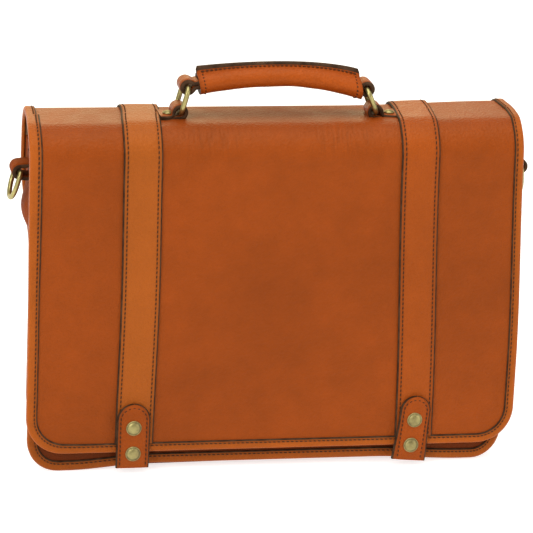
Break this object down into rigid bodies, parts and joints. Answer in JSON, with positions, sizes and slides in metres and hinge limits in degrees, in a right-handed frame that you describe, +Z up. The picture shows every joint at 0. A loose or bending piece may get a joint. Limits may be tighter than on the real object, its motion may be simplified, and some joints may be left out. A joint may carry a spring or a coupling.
{
  "type": "briefcase",
  "caption": "Flap-over leather briefcase with strap-and-stud closing tabs, padded top handle on brass rings, and a D-ring on each side for a shoulder strap",
  "frame": {"origin": "on the floor, under the middle of the object", "axes": "+X runs along the case, the right side seen from the front; -Y is the front, where the flap hangs; +Z is up"},
  "size_m": [0.4248, 0.1036, 0.3224],
  "materials": {
    "panel_leather": "oiled full-grain leather",
    "strap_leather": "oiled leather with dark painted edges",
    "lining": "woven lining",
    "antique_brass": "antique",
    "steel": "plain",
    "zip_tape": "woven tape with nylon teeth"
  },
  "bodies": {
    "case": {"back_panel": "panel_leather", "back_binding": "strap_leather", "front_panel": "panel_leather", "front_binding": "strap_leather", "gusset": "panel_leather", "base_board": "lining", "divider": "lining", "pocket_panel": "lining", "pocket_header": "lining", "zip_chain": "zip_tape", "left_back_strap": "strap_leather", "left_case_magnet": "steel", "left_side_chape": "strap_leather", "right_back_strap": "strap_leather", "right_case_magnet": "steel", "right_side_chape": "strap_leather"},
    "flap_top": {"flap_top_panel": "panel_leather", "left_top_binding": "strap_leather", "left_top_strap": "strap_leather", "left_handle_chape": "strap_leather", "left_chape_rivet": "antique_brass", "right_top_binding": "strap_leather", "right_top_strap": "strap_leather", "right_handle_chape": "strap_leather", "right_chape_rivet": "antique_brass"},
    "flap_front": {"flap_front_panel": "panel_leather", "flap_binding": "strap_leather", "left_front_strap": "strap_leather", "left_tab": "strap_leather", "left_upper_stud": "antique_brass", "left_lower_stud": "antique_brass", "left_flap_magnet": "steel", "right_front_strap": "strap_leather", "right_tab": "strap_leather", "right_upper_stud": "antique_brass", "right_lower_stud": "antique_brass", "right_flap_magnet": "steel"},
    "left_handle_ring": {"left_ring": "antique_brass"},
    "right_handle_ring": {"right_ring": "antique_brass"},
    "handle": {"handle_grip": "panel_leather", "left_handle_loop": "strap_leather", "right_handle_loop": "strap_leather"},
    "left_side_ring": {"left_d_ring": "antique_brass"},
    "right_side_ring": {"right_d_ring": "antique_brass"},
    "slider": {"zip_slider": "antique_brass"},
    "puller": {"zip_puller": "antique_brass"}
  },
  "joints": [
    {"name": "flap_rear_fold", "type": "hinge", "parent": "case", "child": "flap_top", "pos_m": [0, 0.04468, 0.27318], "axis": [-1, 0, 0], "range_deg": [0, 170]},
    {"name": "flap_front_fold", "type": "hinge", "parent": "flap_top", "child": "flap_front", "pos_m": [0, -0.03751, 0.27201], "axis": [-1, 0, 0], "range_deg": [0, 90]},
    {"name": "left_ring_sway", "type": "hinge", "parent": "flap_top", "child": "left_handle_ring", "pos_m": [-0.08, 0.005, 0.2833], "axis": [0, 1, 0], "range_deg": [-8, 8]},
    {"name": "handle_sway", "type": "hinge", "parent": "left_handle_ring", "child": "handle", "pos_m": [-0.07175, 0.005, 0.30434], "axis": [0, 1, 0], "range_deg": [-9, 9]},
    {"name": "right_ring_sway", "type": "hinge", "parent": "flap_top", "child": "right_handle_ring", "pos_m": [0.08, 0.005, 0.2833], "axis": [0, 1, 0], "range_deg": [-8, 8]},
    {"name": "left_side_ring_swing", "type": "hinge", "parent": "case", "child": "left_side_ring", "pos_m": [-0.204, 0.0065, 0.235], "axis": [0, 1, 0], "range_deg": [0, 140]},
    {"name": "right_side_ring_swing", "type": "hinge", "parent": "case", "child": "right_side_ring", "pos_m": [0.204, 0.0065, 0.235], "axis": [0, -1, 0], "range_deg": [0, 140]},
    {"name": "zip_slide", "type": "slide", "parent": "case", "child": "slider", "axis": [-1, 0, 0], "range_m": [0, 0.27]},
    {"name": "puller_swing", "type": "hinge", "parent": "slider", "child": "puller", "pos_m": [0.135, 0.0398, 0.205], "axis": [-1, 0, 0], "range_deg": [0, 150]}
  ],
  "couplings": [
    {"joint": "handle_sway", "follows": "left_ring_sway", "ratio": -1.114},
    {"joint": "right_ring_sway", "follows": "left_ring_sway", "ratio": 1}
  ]
}
